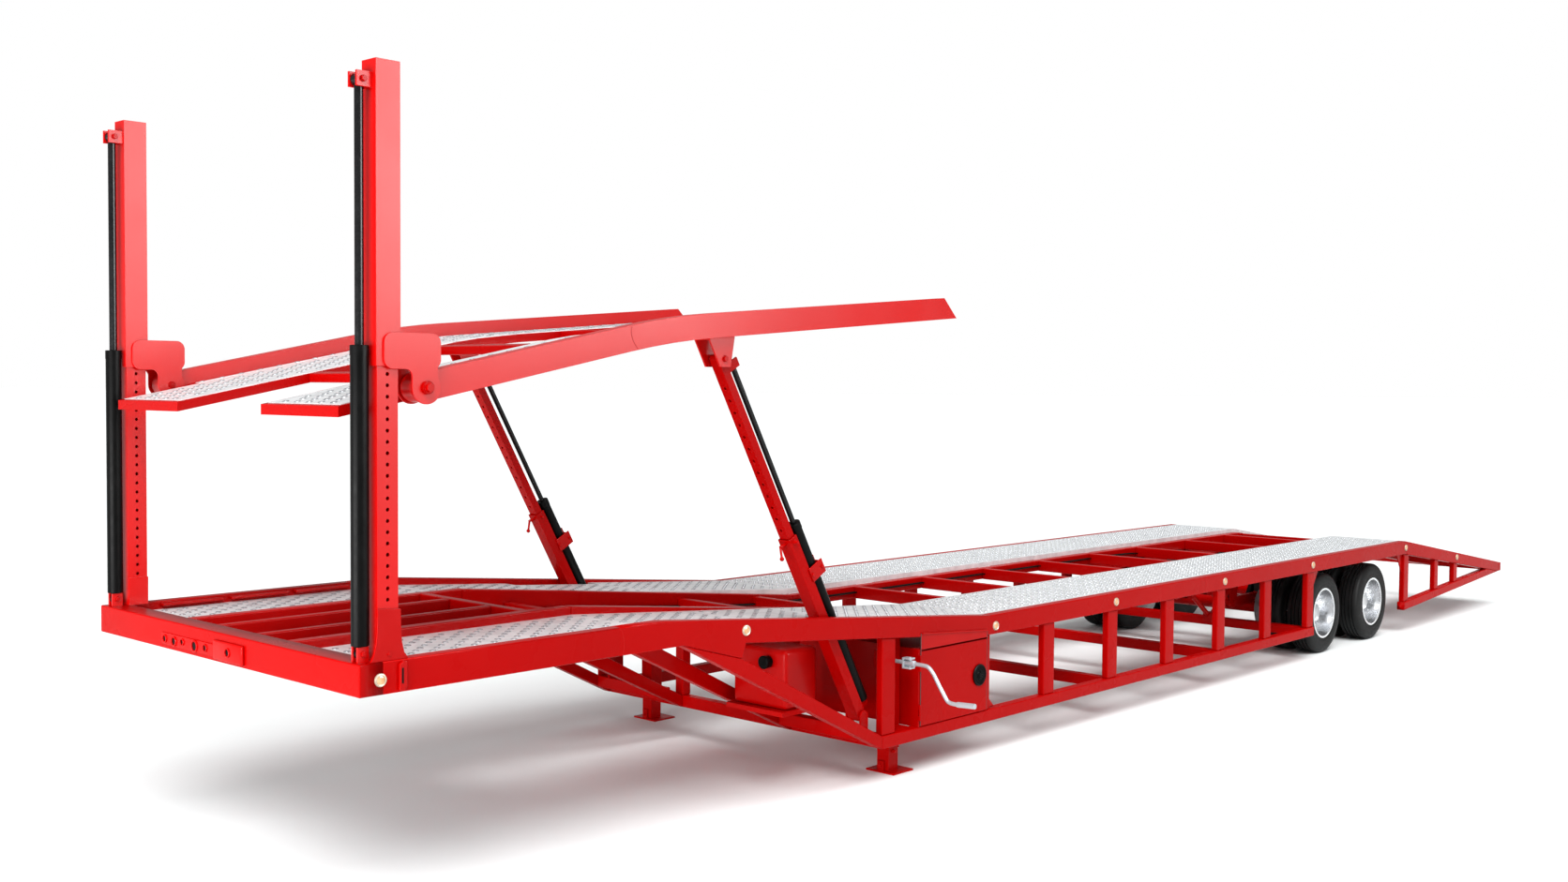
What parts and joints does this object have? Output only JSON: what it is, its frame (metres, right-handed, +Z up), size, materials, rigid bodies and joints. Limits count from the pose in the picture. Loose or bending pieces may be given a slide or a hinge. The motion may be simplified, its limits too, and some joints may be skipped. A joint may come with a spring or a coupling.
{
  "type": "car transporter semi-trailer",
  "caption": "Drop-deck car transporter semi-trailer: truss sides, lifting upper deck on masts and inclined posts, twin-tyred axles, landing legs and a beavertail.",
  "frame": {"origin": "middle of the kingpin's neck, on the trailer's centre plane", "axes": "+X forward towards the tractor, +Y to the trailer's left side, +Z up"},
  "size_m": [14.642, 3.1411, 3.84],
  "materials": {
    "red_paint": "glossy enamel",
    "galvanised_tread": "galvanised tread plank",
    "black_paint": "satin black",
    "rod_steel": "dark polished rod",
    "bare_steel": "plain steel with grease",
    "zinc_plate": "zinc plated",
    "spring_rubber": "matt",
    "tyre_rubber": "matt",
    "polished_aluminium": "polished",
    "amber_lens": "glossy",
    "red_lens": "glossy"
  },
  "bodies": {
    "chassis": {"front_beam": "red_paint", "neck_side_rails": "red_paint", "gooseneck_sides": "red_paint", "deck_side_rails": "red_paint", "lower_side_rails": "red_paint", "beavertail_rails": "red_paint", "truss_uprights": "red_paint", "neck_braces": "red_paint", "inner_rails": "red_paint", "crossmembers": "red_paint", "lower_crossmembers": "red_paint", "runways": "galvanised_tread", "rear_bar": "red_paint", "coupler": "bare_steel", "toolbox": "red_paint", "landing_legs": "red_paint", "landing_feet": "red_paint", "landing_crank": "zinc_plate", "axle_beams": "red_paint", "suspension_hangers": "red_paint", "trailing_arms": "red_paint", "air_springs": "spring_rubber", "marker_lights": "amber_lens", "tail_lights": "red_lens", "mast_posts": "red_paint", "mast_barrels": "black_paint", "post_anchors": "red_paint"},
    "toolbox_door": {"toolbox_door": "red_paint"},
    "front_lift": {"mast_sleeves": "red_paint", "mast_rods": "rod_steel", "deck_front_pins": "red_paint"},
    "upper_deck": {"upper_deck_rails": "red_paint", "upper_deck_frames": "red_paint", "upper_deck_runways": "galvanised_tread"},
    "rear_post_outer": {"rear_post_tubes": "red_paint", "rear_post_barrels": "black_paint"},
    "rear_post_inner": {"rear_post_inners": "red_paint", "rear_post_rods": "rod_steel"},
    "wheel_front_left": {"wheel_front_left": "polished_aluminium", "tyres_front_left": "tyre_rubber"},
    "wheel_front_right": {"wheel_front_right": "polished_aluminium", "tyres_front_right": "tyre_rubber"},
    "wheel_rear_left": {"wheel_rear_left": "polished_aluminium", "tyres_rear_left": "tyre_rubber"},
    "wheel_rear_right": {"wheel_rear_right": "polished_aluminium", "tyres_rear_right": "tyre_rubber"}
  },
  "joints": [
    {"name": "front_lift", "type": "slide", "parent": "chassis", "child": "front_lift", "axis": [0, 0, 1], "range_m": [-1.05, 0.05]},
    {"name": "upper_deck_tilt", "type": "hinge", "parent": "front_lift", "child": "upper_deck", "pos_m": [0.564, 0, 1.4235], "axis": [0, -1, 0], "range_deg": [-0.3, 1.5]},
    {"name": "rear_post_swing", "type": "hinge", "parent": "chassis", "child": "rear_post_outer", "pos_m": [-2.616, 0, -0.5625], "axis": [0, -1, 0], "range_deg": [-17.5, 1.2]},
    {"name": "rear_post_extend", "type": "slide", "parent": "rear_post_outer", "child": "rear_post_inner", "axis": [0.492, 0, 0.8706], "range_m": [-0.9, 0.05]},
    {"name": "toolbox_door_hinge", "type": "hinge", "parent": "chassis", "child": "toolbox_door", "pos_m": [-3.059, 1.3015, -0.4525], "axis": [0, 0, -1], "range_deg": [0, 95]},
    {"name": "wheel_front_left_spin", "type": "hinge", "parent": "chassis", "child": "wheel_front_left", "pos_m": [-9.226, 0.977, -0.6145], "axis": [0, 1, 0], "continuous": true},
    {"name": "wheel_front_right_spin", "type": "hinge", "parent": "chassis", "child": "wheel_front_right", "pos_m": [-9.226, -0.977, -0.6145], "axis": [0, 1, 0], "continuous": true},
    {"name": "wheel_rear_left_spin", "type": "hinge", "parent": "chassis", "child": "wheel_rear_left", "pos_m": [-10.321, 0.977, -0.6145], "axis": [0, 1, 0], "continuous": true},
    {"name": "wheel_rear_right_spin", "type": "hinge", "parent": "chassis", "child": "wheel_rear_right", "pos_m": [-10.321, -0.977, -0.6145], "axis": [0, 1, 0], "continuous": true}
  ],
  "couplings": [
    {"joint": "upper_deck_tilt", "follows": "front_lift", "rad_per_m": -0.0184},
    {"joint": "rear_post_swing", "follows": "front_lift", "rad_per_m": 0.2851},
    {"joint": "rear_post_extend", "follows": "front_lift", "ratio": 0.85}
  ]
}
